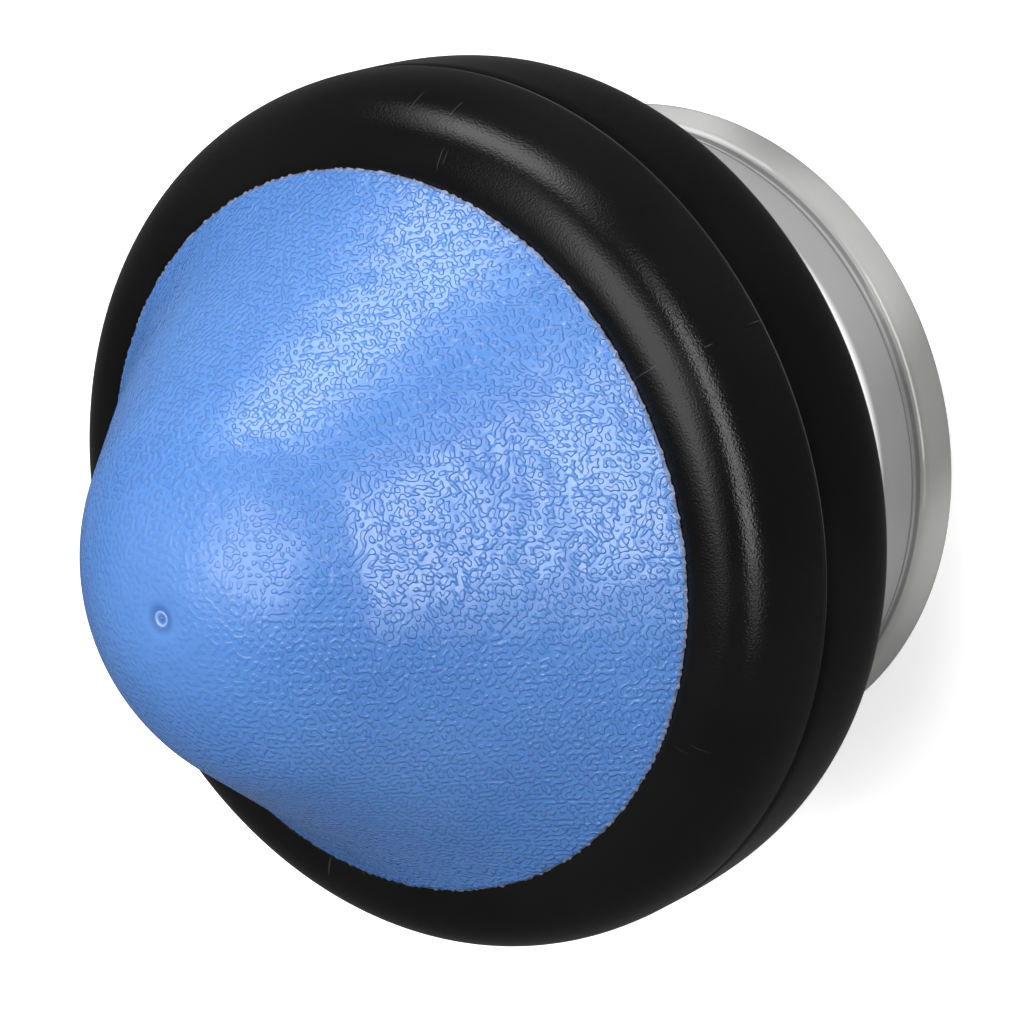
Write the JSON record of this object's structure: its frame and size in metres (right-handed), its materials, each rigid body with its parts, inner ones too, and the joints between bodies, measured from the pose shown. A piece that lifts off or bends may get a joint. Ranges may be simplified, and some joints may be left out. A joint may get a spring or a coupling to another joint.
{
  "type": "suction massage knob",
  "caption": "Wall-mounted pressure-point massage knob: a textured soft cone on a round two-part body that twists to lock a clear suction cup.",
  "frame": {"origin": "centre of the suction cup's lip face, where it meets the wall", "axes": "+Z along the knob's axis, from the wall to the tip of the cone; +X through one end of the cross pin at rest"},
  "size_m": [0.08, 0.08, 0.072],
  "materials": {
    "cone_blue": "glossy leather grain",
    "core_blue": "matte",
    "shell_satin": "satin, fine spark grain",
    "shell_gloss": "gloss",
    "clear_vinyl": "clear, soft",
    "acetal": "natural, waxy",
    "stem_nylon": "matte",
    "seal_rubber": "matte",
    "steel": "zinc plated"
  },
  "bodies": {
    "cup": {"suction_cup": "clear_vinyl"},
    "base": {"rear_shell": "shell_gloss", "thrust_washer": "acetal"},
    "stem": {"stem_insert": "stem_nylon", "stem_cross_pin": "steel"},
    "head": {"front_shell": "shell_satin", "massage_cone": "cone_blue", "cone_core": "core_blue", "cam_sleeve": "acetal", "drag_ring": "seal_rubber", "cam_screw_1": "steel", "cam_screw_2": "steel", "cam_screw_3": "steel", "cam_screw_4": "steel", "core_screw_1": "steel", "core_screw_2": "steel", "core_screw_3": "steel", "core_screw_4": "steel"}
  },
  "joints": [
    {"name": "cup_press", "type": "slide", "parent": "cup", "child": "base", "axis": [0, 0, 1], "range_m": [-0.006, 0], "stiffness_N_per_m": 3000, "springref_m": 0.001, "deforming": ["suction_cup"]},
    {"name": "lock_twist", "type": "hinge", "parent": "base", "child": "head", "pos_m": [0, 0, 0.0336], "axis": [0, 0, -1], "range_deg": [0, 90]},
    {"name": "stem_draw", "type": "slide", "parent": "base", "child": "stem", "axis": [0, 0, 1], "range_m": [0, 0.004]}
  ],
  "couplings": [
    {"joint": "stem_draw", "follows": "lock_twist", "m_per_rad": 0.002546}
  ]
}
